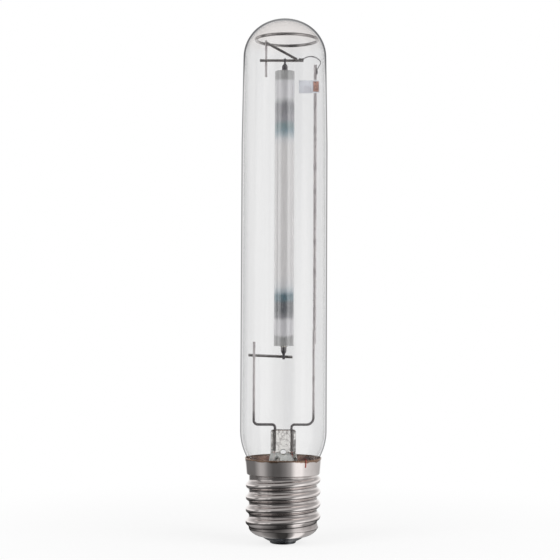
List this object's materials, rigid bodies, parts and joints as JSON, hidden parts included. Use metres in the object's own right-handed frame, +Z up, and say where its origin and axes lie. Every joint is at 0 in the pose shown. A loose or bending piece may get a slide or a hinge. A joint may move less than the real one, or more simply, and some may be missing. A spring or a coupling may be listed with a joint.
{
  "type": "tubular light bulb",
  "caption": "Clear tubular discharge lamp with a domed end, a slim ceramic arc tube on a welded wire frame inside, and a giant threaded screw cap with a dark glass insulator.",
  "frame": {"origin": "middle of the underside of the centre contact", "axes": "+Z up the lamp's axis from the cap to the dome, +X across the wire frame towards the getter flag, -Y the side that the picture shows"},
  "size_m": [0.0454, 0.0454, 0.2766],
  "materials": {
    "bulb_glass": "clear hard glass",
    "stem_glass": "clear glass with pressing marks",
    "alumina": "translucent sintered alumina",
    "plug_alumina": "matt sintered alumina",
    "frit": "melted sealing frit",
    "frame_wire": "nickel-plated wire",
    "strap_metal": "thin rolled ribbon",
    "getter_holder_metal": "folded sheet, bluish from heat",
    "getter_metal": "pressed reddish-brown powder",
    "niobium": "drawn tube",
    "tungsten": "dark drawn wire",
    "amalgam": "bright bead",
    "cap_metal": "nickel-plated rolled sheet",
    "cement": "baked cement",
    "insulator_glass": "dark opaque glass",
    "contact_metal": "dull pressed sheet",
    "solder": "satin solder",
    "cap_wire": "reddish coated wire"
  },
  "bodies": {
    "root": {"outer_bulb": "bulb_glass", "glass_stem": "stem_glass", "exhaust_tube": "stem_glass", "left_lead_rod": "frame_wire", "right_lead_rod": "frame_wire", "frame_rod": "frame_wire", "lower_crossbar": "frame_wire", "upper_crossbar": "frame_wire", "dome_ring": "frame_wire", "ring_stay": "frame_wire", "diagonal_brace": "frame_wire", "flexible_strap": "strap_metal", "getter_holder": "getter_holder_metal", "getter_strip": "getter_metal", "arc_tube": "alumina", "lower_end_plug": "plug_alumina", "upper_end_plug": "plug_alumina", "lower_seal": "frit", "upper_seal": "frit", "lower_feedthrough": "niobium", "upper_feedthrough": "niobium", "lower_electrode_rod": "tungsten", "upper_electrode_rod": "tungsten", "lower_electrode_coil": "tungsten", "upper_electrode_coil": "tungsten", "amalgam_dose": "amalgam", "cap_shell": "cap_metal", "cap_cement": "cement", "cap_insulator": "insulator_glass", "centre_contact": "contact_metal", "contact_solder": "solder", "centre_lead_wire": "cap_wire", "side_lead_wire": "cap_wire"}
  },
  "joints": []
}
